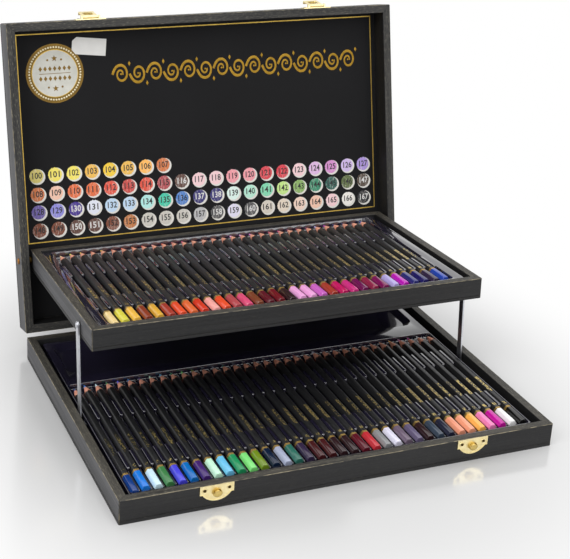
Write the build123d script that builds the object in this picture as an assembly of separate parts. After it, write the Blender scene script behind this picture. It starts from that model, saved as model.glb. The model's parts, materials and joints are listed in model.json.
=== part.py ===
from build123d import *
from math import atan2, cos, degrees, hypot, radians, sin
import os

# A shallow hinged wooden case for colouring pencils, drawn open. The lid carries a
# pencil tray on two pivots, and two steel links tie the front of the tray to the
# base, so that the tray swings up and back as the lid opens.
# Millimetres, +Z up, front towards -Y. The origin is the centre of the underside.
# Every piece is drawn where it lies in the shut case, then turned to the open pose.

# Case frame
case_width = 390.0
base_height = 21.5
lid_height = 24.0
wall = 8.0
panel = 3.0
edge_round = 0.7
corner_round = 1.6
card_thickness = 0.6
card_gap = 0.5

# Lid hinges, on the rear faces
lid_open_angle = 103.0
hinge_face_gap = 0.35
hinge_offset = 115.0
hinge_length = 40.0
knuckle_count = 5
knuckle_radius = 1.9
knuckle_gap = 0.3
hinge_pin_radius = 0.9
running_clearance = 0.05
leaf_thickness = 1.0
leaf_height = 13.0
leaf_notch = 2.4
leaf_screw_spacing = 26.0
leaf_screw_drop = 8.5
screw_head_radius = 2.0
screw_head_height = 0.5
screw_shank_radius = 1.0
screw_length = 5.5

# Tray that the lid raises
tray_side_gap = 3.9
tray_front_gap = 11.9
tray_lid_gap = 0.7
tray_wall = 8.0
tray_panel = 2.5
tray_tilt = 3.6

# Pivots between lid, tray and links
tray_pivot_from_rear = 67.5
rear_pivot_inset = 3.4
front_pivot_inset = 35.5
pivot_pin_radius = 2.0
pivot_pin_depth = 6.0
pivot_head_radius = 2.9
pivot_head_height = 1.3
pivot_head_round = 1.0
spacer_radius = 3.4
spacer_clearance = 0.3

# Links
link_thickness = 1.4
link_width = 6.6
link_to_tray = 1.2
link_foot_height = 8.0
link_stud_radius = 1.3
link_head_radius = 2.4
link_head_height = 0.7
foot_screw_length = 6.0

# Pencils
pencil_length = 175.0
pencil_flats = 6.8
pencil_pitch = 10.1
lead_radius = 1.65
lead_fit = 0.02
lead_tip_radius = 0.3
cone_length = 9.5
cone_end_wall = 0.25
base_axis_drop = 6.3
tray_axis_drop = 4.2
base_pencil_gap = 10.5
tray_pencil_gap = 7.5
tray_tip_gap = 5.5

# Formed plastic inserts
sheet = 0.7
insert_gap = 0.5
insert_side_gap = 4.6
tray_insert_side_gap = 2.5
tray_insert_shift = -2.2
base_flange_drop = 4.2
tray_flange_drop = 1.5
insert_corner = 4.0
tray_insert_margin = 9.0
cavity_side_gap = 0.4
tray_cavity_side_gap = 3.0
cavity_front_gap = 4.0
cavity_rear_gap = 2.0
cavity_corner = 3.0
bar_clearance = 0.17
bar_roundness = 0.98
bar_rise = 2.2
bar_length = 27.0
bar_starts = (30.0, 112.0)
side_block_gap = 0.3
recess_width = 352.0
recess_gap = 20.0
recess_rear_gap = 5.0
recess_floor = 9.0
recess_corner = 8.0

# Latches on the front faces
latch_offset = 115.0
plate_width = 28.6
plate_shoulder = 24.6
plate_side = 7.7
plate_height = 14.1
plate_thickness = 0.8
plate_rim_gap = 0.2
plate_nail_offset = 10.3
keeper_nail_drop = 3.9
hasp_nail_rise = 7.2
nail_radius = 0.6
nail_head_radius = 1.2
nail_head_height = 0.4
nail_length = 6.0
boss_width = 8.2
boss_height = 6.8
boss_drop = 6.9
boss_rise = 2.6
boss_corner = 2.2
boss_slot_width = 4.6
boss_slot_height = 1.2
boss_slot_depth = 1.4
hasp_face_gap = 0.25
hasp_axis_rise = 2.2
hasp_barrel_radius = 1.45
hasp_stile = 2.6
hasp_ear_width = 1.8
hasp_ear_gap = 0.3
hasp_pin_radius = 0.7
hasp_thickness = 0.9
hasp_foot = 2.6
hasp_window_gap = 0.5
hasp_lip = 2.2
hasp_rest_angle = 165.0


def spun(point, centre, angle):
    """A (y, z) point turned about another, positive from +Y towards +Z."""
    turn = radians(angle)
    dy = point[0] - centre[0]
    dz = point[1] - centre[1]
    y = centre[0] + dy * cos(turn) - dz * sin(turn)
    z = centre[1] + dy * sin(turn) + dz * cos(turn)
    return (y, z)


# The case is as deep as the raised tray, its pivots and the room in front of it ask
tray_depth = tray_pencil_gap + pencil_length + tray_tip_gap + 2 * tray_wall
tray_height = lid_height - panel - card_thickness - 2 * tray_lid_gap
case_depth = wall + tray_front_gap + tray_depth - rear_pivot_inset + tray_pivot_from_rear
pencil_width = 2 * pencil_flats / 3 ** 0.5

# Linkage, as (y, z) points. The lid and tray pivots set it, and the foot of the
# link lies where the shut and the open front pivot are equally far away.
inner_front = -case_depth / 2 + wall
inner_rear = case_depth / 2 - wall
inner_side = case_width / 2 - wall
hinge_axis = (case_depth / 2 + knuckle_radius + hinge_face_gap, base_height)
rear_pivot_shut = (
    case_depth / 2 - tray_pivot_from_rear,
    base_height + tray_lid_gap + tray_height / 2,
)
rear_pivot_open = spun(rear_pivot_shut, hinge_axis, -lid_open_angle)
pivot_spacing = tray_depth - rear_pivot_inset - front_pivot_inset
front_pivot_shut = (rear_pivot_shut[0] - pivot_spacing, rear_pivot_shut[1])
front_pivot_open = (
    rear_pivot_open[0] - pivot_spacing * cos(radians(tray_tilt)),
    rear_pivot_open[1] + pivot_spacing * sin(radians(tray_tilt)),
)


def equal_reach(first, second, height):
    """The y at which a point at this height is as far from one point as the other."""
    first_square = first[0] ** 2 + (first[1] - height) ** 2
    second_square = second[0] ** 2 + (second[1] - height) ** 2
    return (first_square - second_square) / (2 * (first[0] - second[0]))


link_foot = (equal_reach(front_pivot_open, front_pivot_shut, link_foot_height), link_foot_height)
link_length = hypot(front_pivot_open[0] - link_foot[0], front_pivot_open[1] - link_foot[1])
link_lean = degrees(atan2(front_pivot_open[0] - link_foot[0], front_pivot_open[1] - link_foot[1]))
link_swing = link_lean + degrees(
    atan2(link_foot[0] - front_pivot_shut[0], front_pivot_shut[1] - link_foot[1])
)

# Tray outline in the shut case
tray_half = inner_side - tray_side_gap
tray_rear = rear_pivot_shut[0] + rear_pivot_inset
tray_front = tray_rear - tray_depth
tray_low = rear_pivot_shut[1] - tray_height / 2
tray_high = tray_low + tray_height
link_inner = tray_half + link_to_tray
link_outer = link_inner + link_thickness

# Hasp pin in the shut case, and the hasp over the boss
hasp_axis_out = plate_thickness + hasp_face_gap + hasp_barrel_radius
hasp_axis = (-case_depth / 2 - hasp_axis_out, base_height + hasp_axis_rise)
window_half = boss_width / 2 + hasp_window_gap
window_rise = boss_height / 2 + hasp_window_gap
hasp_half = window_half + hasp_stile
hasp_end = base_height - boss_drop - window_rise - hasp_foot
keeper_nail_z = base_height - plate_rim_gap - keeper_nail_drop
hasp_nail_z = base_height + plate_rim_gap + hasp_nail_rise


def turned(shape, centre, angle):
    """A shape turned about an axis along X through a (y, z) point."""
    y, z = centre
    return Pos(0, y, z) * Rot(angle, 0, 0) * Pos(0, -y, -z) * shape


def with_lid(shape):
    return turned(shape, hinge_axis, -lid_open_angle)


def with_tray(shape):
    """Follows the rear pivot up with the lid, and tips the front up by the tilt."""
    rise_y = rear_pivot_open[0] - rear_pivot_shut[0]
    rise_z = rear_pivot_open[1] - rear_pivot_shut[1]
    return Pos(0, rise_y, rise_z) * turned(shape, rear_pivot_shut, -tray_tilt)


def with_link(shape):
    """From upright over its foot to its lean in the open case."""
    return turned(shape, link_foot, -link_lean)


def block(x, y, z):
    """A box from its limits, each given as (low, high)."""
    size = (x[1] - x[0], y[1] - y[0], z[1] - z[0])
    middle = ((x[0] + x[1]) / 2, (y[0] + y[1]) / 2, (z[0] + z[1]) / 2)
    return Pos(*middle) * Box(*size)


def rounded_block(x, y, z, radius):
    """A box whose upright corners are rounded."""
    outline = RectangleRounded(x[1] - x[0], y[1] - y[0], radius)
    middle = ((x[0] + x[1]) / 2, (y[0] + y[1]) / 2, z[0])
    return Pos(*middle) * extrude(outline, z[1] - z[0])


def rod(x, centre, radius):
    """A round bar along X about a (y, z) point."""
    bar = Cylinder(radius, x[1] - x[0], rotation=(0, 90, 0))
    return Pos((x[0] + x[1]) / 2, centre[0], centre[1]) * bar


def peg(x, z, y, radius):
    """A round bar along Y about an x and z."""
    bar = Cylinder(radius, y[1] - y[0], rotation=(90, 0, 0))
    return Pos(x, (y[0] + y[1]) / 2, z) * bar


def group(shapes):
    solids = []
    for shape in shapes:
        solids.extend(shape.solids())
    return Compound(children=solids)


def mirrored(shape):
    return mirror(shape, Plane.YZ)


def mitred_frame(half_width, y, z, thickness):
    """Four rails with eased edges, mitred at the corners: front, right, rear, left."""
    outer = [(-half_width, y[0]), (half_width, y[0]), (half_width, y[1]), (-half_width, y[1])]
    inner = [
        (-half_width + thickness, y[0] + thickness),
        (half_width - thickness, y[0] + thickness),
        (half_width - thickness, y[1] - thickness),
        (-half_width + thickness, y[1] - thickness),
    ]
    height = z[1] - z[0]
    envelope = rounded_block((-half_width, half_width), y, z, corner_round)
    rails = []
    for side in range(4):
        start, end = outer[side], outer[(side + 1) % 4]
        corners = [start, end, inner[(side + 1) % 4], inner[side]]
        mitre = extrude(make_face(Polyline(*corners, close=True)), height)
        run = hypot(end[0] - start[0], end[1] - start[1])
        section = Plane.YZ * RectangleRounded(thickness, height, edge_round)
        bar = Pos(-run / 2, thickness / 2, height / 2) * extrude(section, run)
        middle = ((start[0] + end[0]) / 2, (start[1] + end[1]) / 2, 0)
        placed = Pos(*middle) * Rot(0, 0, 90 * side) * bar
        rails.append((Pos(0, 0, z[0]) * (placed & mitre)) & envelope)
    return rails


def flat_panel(half_width, y, z):
    return rounded_block((-half_width, half_width), y, z, corner_round)


def pencil():
    """One pencil along +Y from its blunt end at the origin: hex casing and round lead."""
    corner = pencil_width / 2
    neck = lead_radius + cone_end_wall
    taper = (corner - neck) / cone_length
    lead_cone = (neck - lead_tip_radius) / taper
    wood_end = pencil_length - lead_cone
    shoulder = wood_end - cone_length
    hexagon = RegularPolygon(corner, 6)
    casing = extrude(hexagon, wood_end)
    turning = Pos(0, 0, shoulder / 2) * Cylinder(corner, shoulder)
    turning += Pos(0, 0, shoulder + cone_length / 2) * Cone(corner, neck, cone_length)
    bore = Pos(0, 0, wood_end / 2) * Cylinder(lead_radius + lead_fit, wood_end)
    casing = (casing & turning) - bore
    lead = Pos(0, 0, wood_end / 2) * Cylinder(lead_radius, wood_end)
    lead += Pos(0, 0, wood_end + lead_cone / 2) * Cone(lead_radius, lead_tip_radius, lead_cone)
    lay = Rot(-90, 0, 0)
    return lay * casing, lay * lead


def row_count(insert_half, margin, side_gap):
    """How many pencils fit side by side between the margins of an insert."""
    room = 2 * (insert_half - margin - side_gap) - pencil_width
    return int(room / pencil_pitch) + 1


def pencil_row(count, blunt_y, axis_z):
    """Casings and leads of one row, each as a group of separate solids."""
    casing, lead = pencil()
    places = [Pos((i - (count - 1) / 2) * pencil_pitch, blunt_y, axis_z) for i in range(count)]
    return group([place * casing for place in places]), group([place * lead for place in places])


def divider_bars(count, blunt_y, z):
    """The raised bars between neighbouring pencils, in two bands."""
    half = pencil_pitch / 2 - pencil_width / 2 - bar_clearance
    bars = []
    for start in bar_starts:
        y = (blunt_y + start, blunt_y + start + bar_length)
        for i in range(count - 1):
            x = (i - (count - 2) / 2) * pencil_pitch
            bars.append(rounded_block((x - half, x + half), y, z, half * bar_roundness))
    return bars


def side_blocks(count, blunt_y, cavity_half, z):
    """Blocks beside the first and the last pencil, in line with the bars."""
    near = ((count - 1) * pencil_pitch + pencil_width) / 2 + side_block_gap
    blocks = []
    for start in bar_starts:
        y = (blunt_y + start, blunt_y + start + bar_length)
        blocks.append(block((near, cavity_half + sheet), y, z))
        blocks.append(block((-cavity_half - sheet, -near), y, z))
    return blocks


def formed_insert(outline, bottom, flange, cavity, floor, bars, recess=None):
    """A formed sheet: flange, outer skirt, pencil cavity with bars, and a recess."""
    half, y = outline
    body = rounded_block((-half, half), y, (bottom, flange), insert_corner)
    inner_y = (y[0] + sheet, y[1] - sheet)
    inner_half = half - sheet
    hollow = rounded_block(
        (-inner_half, inner_half), inner_y, (bottom, flange - sheet), insert_corner - sheet
    )
    pockets = [(cavity, floor, cavity_corner)]
    if recess:
        pockets.append((recess, bottom + recess_floor, recess_corner))
    for (pocket_half, pocket_y), low, radius in pockets:
        x = (-pocket_half, pocket_half)
        body -= rounded_block(x, pocket_y, (low, flange), radius)
        grown_x = (x[0] - sheet, x[1] + sheet)
        grown_y = (pocket_y[0] - sheet, pocket_y[1] + sheet)
        hollow -= rounded_block(grown_x, grown_y, (low - sheet, flange), radius + sheet)
    return (body - hollow).fuse(*bars)


def pencil_layout(count, blunt_y, axis_z, side_gap):
    """Cavity limits and floor for one row of pencils."""
    half = ((count - 1) * pencil_pitch + pencil_width) / 2 + side_gap
    y = (blunt_y - cavity_front_gap, blunt_y + pencil_length + cavity_rear_gap)
    return (half, y), axis_z - pencil_flats / 2


def latch_plate(z_rim, direction):
    """Half-round brass plate on the front face, from the rim up or down."""
    face = -case_depth / 2
    half, shoulder = plate_width / 2, plate_shoulder / 2
    top = z_rim + direction * plate_rim_gap
    side = top + direction * plate_side
    end = top + direction * plate_height
    left = [(-shoulder, side), (-half, side), (-half, top)]
    right = [(half, top), (half, side), (shoulder, side)]
    arc = ThreePointArc((shoulder, side), (0, end), (-shoulder, side))
    outline = Plane.XZ * make_face(Polyline(*left, *right) + arc)
    return Pos(0, face, 0) * extrude(outline, plate_thickness)


def plate_nails(z):
    """Two small nails through a latch plate."""
    face = -case_depth / 2 - plate_thickness
    nails = []
    for x in (-plate_nail_offset, plate_nail_offset):
        head = peg(x, z, (face - nail_head_height, face), nail_head_radius)
        nails.append(head + peg(x, z, (face, face + nail_length), nail_radius))
    return nails


def keeper():
    """Base half of a latch: the plate and its hooked boss."""
    plate = latch_plate(base_height, -1)
    face = -case_depth / 2 - plate_thickness
    z = base_height - boss_drop
    outline = Plane.XZ * RectangleRounded(boss_width, boss_height, boss_corner)
    boss = Pos(0, face, z) * extrude(outline, boss_rise)
    slot_y = (face - boss_rise, face - boss_rise + boss_slot_depth)
    slot_top = z + boss_height / 2 - boss_slot_height
    slot_z = (slot_top - boss_slot_height, slot_top)
    slot = block((-boss_slot_width / 2, boss_slot_width / 2), slot_y, slot_z)
    return plate + (boss - slot)


def hasp_plate():
    """Lid half of a latch: the plate and two ears for the hasp pin."""
    plate = latch_plate(base_height, 1)
    face = -case_depth / 2
    near = hasp_half + hasp_ear_gap
    bore = hasp_pin_radius + running_clearance
    for x in ((-near - hasp_ear_width, -near), (near, near + hasp_ear_width)):
        ear = rod(x, hasp_axis, hasp_barrel_radius)
        foot_z = (hasp_axis[1] - hasp_barrel_radius, hasp_axis[1] + hasp_barrel_radius)
        ear += block(x, (hasp_axis[0], face), foot_z)
        plate += ear
    return plate - rod((-plate_width, plate_width), hasp_axis, bore)


def hasp():
    """The swinging plate of a latch, drawn over the boss: barrel, window and lip."""
    across = (-hasp_half, hasp_half)
    leaf_y = (hasp_axis[0] - hasp_thickness / 2, hasp_axis[0] + hasp_thickness / 2)
    leaf = block(across, leaf_y, (hasp_end, hasp_axis[1]))
    lip = block(across, (leaf_y[0] - hasp_lip, leaf_y[1]), (hasp_end - hasp_thickness, hasp_end))
    leaf = leaf + lip + rod(across, hasp_axis, hasp_barrel_radius)
    leaf = fillet(leaf.edges().filter_by(Axis.Y).group_by(Axis.Z)[0], hasp_thickness / 2)
    window = Plane.XZ * RectangleRounded(2 * window_half, 2 * window_rise, boss_corner)
    cut = Pos(0, leaf_y[1], base_height - boss_drop) * extrude(window, hasp_thickness)
    bore = rod(across, hasp_axis, hasp_pin_radius + running_clearance)
    return leaf - cut - bore


def hasp_pin():
    reach = hasp_half + hasp_ear_gap + hasp_ear_width
    return rod((-reach, reach), hasp_axis, hasp_pin_radius)


def hinge_leaf(direction, own):
    """One leaf with the knuckles at the even (0) or odd (1) places along the pin."""
    face = case_depth / 2
    y = (face, face + leaf_thickness)
    half = hinge_length / 2
    far = hinge_axis[1] + direction * leaf_height
    near = hinge_axis[1] + direction * leaf_notch
    leaf = block((-half, half), y, (min(far, near), max(far, near)))
    step = hinge_length / knuckle_count
    for i in range(knuckle_count):
        if i % 2 != own:
            continue
        x = (-half + i * step + knuckle_gap / 2, -half + (i + 1) * step - knuckle_gap / 2)
        leaf += block(x, y, (min(hinge_axis[1], near), max(hinge_axis[1], near)))
        leaf += rod(x, hinge_axis, knuckle_radius)
    return leaf - rod((-half, half), hinge_axis, hinge_pin_radius + running_clearance)


def leaf_screws(direction):
    """Three screws through one hinge leaf."""
    face = case_depth / 2 + leaf_thickness
    z = hinge_axis[1] + direction * leaf_screw_drop
    screws = []
    for x in (-leaf_screw_spacing / 2, 0, leaf_screw_spacing / 2):
        head = peg(x, z, (face, face + screw_head_height), screw_head_radius)
        screws.append(head + peg(x, z, (face - screw_length, face), screw_shank_radius))
    return screws


def both_sides(shapes, offset):
    """Copies of some shapes at minus and plus an x offset."""
    return [Pos(x, 0, 0) * shape for x in (-offset, offset) for shape in shapes]


def tray_pivot():
    """Right pivot pin: domed head outside the lid rail, end inside the tray rail."""
    outside = case_width / 2
    tip = tray_half - pivot_pin_depth
    pin = rod((tip, outside), rear_pivot_shut, pivot_pin_radius)
    head = rod((outside, outside + pivot_head_height), rear_pivot_shut, pivot_head_radius)
    head = fillet(head.edges().sort_by(Axis.X)[-1], pivot_head_round)
    return pin + head


def tray_spacer():
    """Right collar round the pivot pin, in the gap between tray and lid."""
    x = (tray_half + spacer_clearance, inner_side)
    collar = rod(x, rear_pivot_shut, spacer_radius)
    return collar - rod(x, rear_pivot_shut, pivot_pin_radius)


def link():
    """Right link, upright over its foot: a flat bar with round ends and two eyes."""
    outline = Plane.YZ * SlotCenterToCenter(link_length, link_width, rotation=90)
    middle = Pos(link_inner, link_foot[0], link_foot[1] + link_length / 2)
    bar = middle * extrude(outline, link_thickness)
    eye = link_stud_radius + running_clearance
    x = (link_inner, link_outer)
    top = (link_foot[0], link_foot[1] + link_length)
    return bar - rod(x, link_foot, eye) - rod(x, top, link_stud_radius)


def link_stud():
    """Right rivet in the link's top eye, its end just short of the tray."""
    top = (link_foot[0], link_foot[1] + link_length)
    shank = rod((tray_half + spacer_clearance, link_outer), top, link_stud_radius)
    return shank + rod((link_outer, link_outer + link_head_height), top, link_head_radius)


def foot_screw():
    """Right screw through the link's lower eye into the base rail, head inside."""
    under_head = link_inner - running_clearance
    shank = rod((under_head, inner_side + foot_screw_length), link_foot, link_stud_radius)
    return shank + rod((under_head - link_head_height, under_head), link_foot, link_head_radius)


nodes = {}

# Base
case_y = (-case_depth / 2, case_depth / 2)
base_rails = mitred_frame(case_width / 2, case_y, (panel, base_height), wall)
keeper_nails = both_sides(plate_nails(keeper_nail_z), latch_offset)
base_leaf_screws = both_sides(leaf_screws(-1), hinge_offset)
foot_screws = [foot_screw(), mirrored(foot_screw())]
base_rails[0] = base_rails[0] - keeper_nails
base_rails[1] = base_rails[1] - foot_screws[0]
base_rails[2] = base_rails[2] - base_leaf_screws
base_rails[3] = base_rails[3] - foot_screws[1]
for name, rail in zip(("front", "right", "rear", "left"), base_rails):
    nodes[f"base_{name}_rail"] = rail
nodes["base_bottom_panel"] = flat_panel(case_width / 2, case_y, (0, panel))

base_insert_half = inner_side - insert_side_gap
base_pencils = row_count(base_insert_half, sheet, cavity_side_gap)
base_blunt = inner_front + base_pencil_gap
axis_z = base_height - base_axis_drop
cavity, floor = pencil_layout(base_pencils, base_blunt, axis_z, cavity_side_gap)
nodes["base_pencil_casings"], nodes["base_pencil_leads"] = pencil_row(base_pencils, base_blunt, axis_z)
recess_y = (cavity[1][1] + recess_gap, inner_rear - insert_gap - recess_rear_gap)
nodes["base_insert"] = formed_insert(
    (base_insert_half, (inner_front + insert_gap, inner_rear - insert_gap)),
    panel,
    base_height - base_flange_drop,
    cavity,
    floor,
    divider_bars(base_pencils, base_blunt, (floor, axis_z + bar_rise)),
    (recess_width / 2, recess_y),
)
for name, x in (("left", -latch_offset), ("right", latch_offset)):
    nodes[f"{name}_keeper"] = Pos(x, 0, 0) * (keeper() - plate_nails(keeper_nail_z))
nodes["keeper_nails"] = group(keeper_nails)
for name, x in (("left", -hinge_offset), ("right", hinge_offset)):
    nodes[f"{name}_hinge_base_leaf"] = Pos(x, 0, 0) * (hinge_leaf(-1, 0) - leaf_screws(-1))
nodes["hinge_base_screws"] = group(base_leaf_screws)
hinge_pin = rod((-hinge_length / 2, hinge_length / 2), hinge_axis, hinge_pin_radius)
nodes["hinge_pins"] = group(both_sides([hinge_pin], hinge_offset))
nodes["link_foot_screws"] = group(foot_screws)

# Lid
lid_top = base_height + lid_height
lid_rails = mitred_frame(case_width / 2, case_y, (base_height, lid_top - panel), wall)
hasp_nails = both_sides(plate_nails(hasp_nail_z), latch_offset)
lid_leaf_screws = both_sides(leaf_screws(1), hinge_offset)
tray_pivots = [tray_pivot(), mirrored(tray_pivot())]
lid_rails[0] = lid_rails[0] - hasp_nails
lid_rails[1] = lid_rails[1] - tray_pivots[0]
lid_rails[2] = lid_rails[2] - lid_leaf_screws
lid_rails[3] = lid_rails[3] - tray_pivots[1]
for name, rail in zip(("front", "right", "rear", "left"), lid_rails):
    nodes[f"lid_{name}_rail"] = with_lid(rail)
nodes["lid_panel"] = with_lid(flat_panel(case_width / 2, case_y, (lid_top - panel, lid_top)))
card_half = inner_side - card_gap
card_z = (lid_top - panel - card_thickness, lid_top - panel)
card = block((-card_half, card_half), (inner_front + card_gap, inner_rear - card_gap), card_z)
nodes["lid_card"] = with_lid(card)
for name, x in (("left", -latch_offset), ("right", latch_offset)):
    plate = hasp_plate() - plate_nails(hasp_nail_z)
    nodes[f"{name}_hasp_plate"] = with_lid(Pos(x, 0, 0) * plate)
    nodes[f"{name}_hasp_pin"] = with_lid(Pos(x, 0, 0) * hasp_pin())
    nodes[f"{name}_hasp"] = with_lid(Pos(x, 0, 0) * turned(hasp(), hasp_axis, -hasp_rest_angle))
nodes["hasp_plate_nails"] = with_lid(group(hasp_nails))
for name, x in (("left", -hinge_offset), ("right", hinge_offset)):
    nodes[f"{name}_hinge_lid_leaf"] = with_lid(Pos(x, 0, 0) * (hinge_leaf(1, 1) - leaf_screws(1)))
nodes["hinge_lid_screws"] = with_lid(group(lid_leaf_screws))
nodes["right_tray_pivot"] = with_lid(tray_pivots[0])
nodes["left_tray_pivot"] = with_lid(tray_pivots[1])
nodes["tray_spacers"] = with_lid(group([tray_spacer(), mirrored(tray_spacer())]))

# Tray
tray_y = (tray_front, tray_rear)
tray_z = (tray_low + tray_panel, tray_high)
rails = mitred_frame(tray_half, tray_y, tray_z, tray_wall)
bore_reach = (tray_half - pivot_pin_depth - spacer_clearance, tray_half)
bore = rod(bore_reach, rear_pivot_shut, pivot_pin_radius + running_clearance)
for name, rail in zip(("front", "right", "rear", "left"), rails):
    nodes[f"tray_{name}_rail"] = with_tray(rail - bore - mirrored(bore))
nodes["tray_bottom_panel"] = with_tray(flat_panel(tray_half, tray_y, (tray_low, tray_low + tray_panel)))
tray_inner_front = tray_front + tray_wall
tray_inner_rear = tray_rear - tray_wall
tray_blunt = tray_inner_front + tray_pencil_gap
tray_insert_half = tray_half - tray_wall - tray_insert_side_gap
tray_pencils = row_count(tray_insert_half, tray_insert_margin, tray_cavity_side_gap)
axis_z = tray_high - tray_axis_drop
cavity, floor = pencil_layout(tray_pencils, tray_blunt, axis_z, tray_cavity_side_gap)
aside = Pos(tray_insert_shift, 0, 0)
casings, leads = pencil_row(tray_pencils, tray_blunt, axis_z)
nodes["tray_pencil_casings"] = with_tray(aside * casings)
nodes["tray_pencil_leads"] = with_tray(aside * leads)
bar_z = (floor, axis_z + bar_rise)
tray_bars = divider_bars(tray_pencils, tray_blunt, bar_z)
tray_bars += side_blocks(tray_pencils, tray_blunt, cavity[0], bar_z)
tray_insert = formed_insert(
    (tray_insert_half, (tray_inner_front + insert_gap, tray_inner_rear - insert_gap)),
    tray_low + tray_panel,
    tray_high - tray_flange_drop,
    cavity,
    floor,
    tray_bars,
)
nodes["tray_insert"] = with_tray(aside * tray_insert)

# Links
nodes["right_link"] = with_link(link())
nodes["left_link"] = with_link(mirrored(link()))
nodes["right_link_stud"] = with_link(link_stud())
nodes["left_link_stud"] = with_link(mirrored(link_stud()))

os.makedirs("parts", exist_ok=True)
for name, shape in nodes.items():
    export_step(shape, f"parts/{name}.step")
print(len(nodes), "nodes,", base_pencils, "and", tray_pencils, "pencils, depth", case_depth)
print("hinge axis y, z", hinge_axis)
print("rear pivot open", rear_pivot_open)
print("link foot, swing", link_foot, link_swing)
print("hasp axis in the open case", spun(hasp_axis, hinge_axis, -lid_open_angle))
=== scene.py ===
import bmesh
import bpy
import json
import math
import random
from mathutils import Matrix, Vector


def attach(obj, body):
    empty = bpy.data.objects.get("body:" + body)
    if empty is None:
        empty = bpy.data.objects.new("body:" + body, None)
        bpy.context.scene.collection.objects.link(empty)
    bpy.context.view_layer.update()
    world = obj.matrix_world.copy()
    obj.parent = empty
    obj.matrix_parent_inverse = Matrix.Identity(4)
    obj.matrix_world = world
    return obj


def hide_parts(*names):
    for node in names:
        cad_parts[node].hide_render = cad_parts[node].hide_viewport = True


# A black-stained pencil case, standing open. Metres, front towards -Y, origin under the base.
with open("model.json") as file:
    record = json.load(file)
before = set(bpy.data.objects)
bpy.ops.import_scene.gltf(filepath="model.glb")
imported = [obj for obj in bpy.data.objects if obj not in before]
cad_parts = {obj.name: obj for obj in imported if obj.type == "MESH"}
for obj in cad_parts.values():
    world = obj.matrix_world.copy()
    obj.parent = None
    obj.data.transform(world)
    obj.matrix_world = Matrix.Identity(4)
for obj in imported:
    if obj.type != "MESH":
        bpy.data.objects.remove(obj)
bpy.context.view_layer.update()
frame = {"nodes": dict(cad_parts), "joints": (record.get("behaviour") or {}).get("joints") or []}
nodes = frame["nodes"]
joints = {joint["name"]: joint for joint in frame["joints"]}
scene = bpy.context.scene
scene.view_settings.view_transform = "Standard"
bpy.ops.object.select_all(action="DESELECT")
print("frame loaded,", len(nodes), "nodes")


# small helpers

def hexToLinear(code):
    channels = [int(code[i:i + 2], 16) / 255 for i in (0, 2, 4)]
    return tuple(c / 12.92 if c <= 0.04045 else ((c + 0.055) / 1.055) ** 2.4 for c in channels) + (1,)


def addNode(tree, kind, inputs=None, output=0, **settings):
    # one node with its settings, values (a text is a hex colour) and links; gives the output that is read
    node = tree.nodes.new("ShaderNode" + kind)
    for name, value in settings.items():
        setattr(node, name, value)
    for name, value in (inputs or {}).items():
        if isinstance(value, bpy.types.NodeSocket):
            tree.links.new(value, node.inputs[name])
        else:
            node.inputs[name].default_value = hexToLinear(value) if isinstance(value, str) else value
    return node.outputs[output]


def startMaterial(name, **values):
    # gives the material, its node tree, its shader and the object coordinates
    material = bpy.data.materials.new(name)
    material.use_nodes = True
    shader = material.node_tree.nodes["Principled BSDF"]
    for socket, value in values.items():
        shader.inputs[socket.replace("_", " ")].default_value = value
    return material, material.node_tree, shader, addNode(material.node_tree, "TexCoord", output="Object")


def feed(tree, shader, **links):
    for socket, value in links.items():
        tree.links.new(value, shader.inputs[socket.replace("_", " ")])


def editing(test=None, kind="FACE"):
    # edit mode with only the faces, edges or points that pass the test selected
    bpy.ops.object.mode_set(mode="EDIT")
    bpy.ops.mesh.select_mode(type=kind)
    bpy.ops.mesh.select_all(action="DESELECT")
    shape = bmesh.from_edit_mesh(bpy.context.object.data)
    parts = {"FACE": shape.faces, "EDGE": shape.edges, "VERT": shape.verts}[kind]
    for part in parts:
        if test and test(part):
            part.select_set(True)
    shape.select_flush_mode()
    bmesh.update_edit_mesh(bpy.context.object.data)


def doneEditing():
    bpy.ops.object.mode_set(mode="OBJECT")


def roundEdges(test, offset, segments):
    editing(test, "EDGE")
    bpy.ops.mesh.bevel(offset=offset, segments=segments, affect="EDGES")


def roundRim(test, offset, segments):
    # rounds the outline of the faces that pass the test
    editing(test)
    bpy.ops.mesh.region_to_loop()
    bpy.ops.mesh.bevel(offset=offset, segments=segments, affect="EDGES")


def isUpright(edge, least=0.001):
    return abs(edge.verts[0].co.z - edge.verts[1].co.z) > least


def only(*objects):
    bpy.ops.object.select_all(action="DESELECT")
    for item in objects:
        item.select_set(True)
    bpy.context.view_layer.objects.active = objects[0]


def applyPlace(item, place=None):
    if place is not None:
        item.matrix_world = place @ item.matrix_world
    only(item)
    bpy.ops.object.transform_apply(location=True, rotation=True, scale=True)


def addCube(low, high):
    middle = [(a + b) / 2 for a, b in zip(low, high)]
    size = [b - a for a, b in zip(low, high)]
    bpy.ops.object.select_all(action="DESELECT")
    bpy.ops.mesh.primitive_cube_add(size=1, location=middle)
    bpy.context.object.scale = size
    applyPlace(bpy.context.object)
    return bpy.context.object


def addDisc(vertices, radius, location=(0, 0, 0)):
    bpy.ops.mesh.primitive_circle_add(vertices=vertices, radius=radius, fill_type="NGON", location=location)
    return bpy.context.object


def addBall(segments, rings, radius, scale, location=(0, 0, 0)):
    bpy.ops.mesh.primitive_uv_sphere_add(segments=segments, ring_count=rings, radius=radius, location=location)
    bpy.context.object.scale = scale
    applyPlace(bpy.context.object)
    return bpy.context.object


def addModifier(item, kind, **settings):
    only(item)
    modifier = item.modifiers.new(kind.lower(), kind)
    for name, value in settings.items():
        setattr(modifier, name, value)
    bpy.ops.object.modifier_apply(modifier=modifier.name)


def carve(item, cutter, operation="DIFFERENCE"):
    addModifier(item, "BOOLEAN", operation=operation, object=cutter, solver="EXACT")
    bpy.data.objects.remove(cutter)


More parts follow.
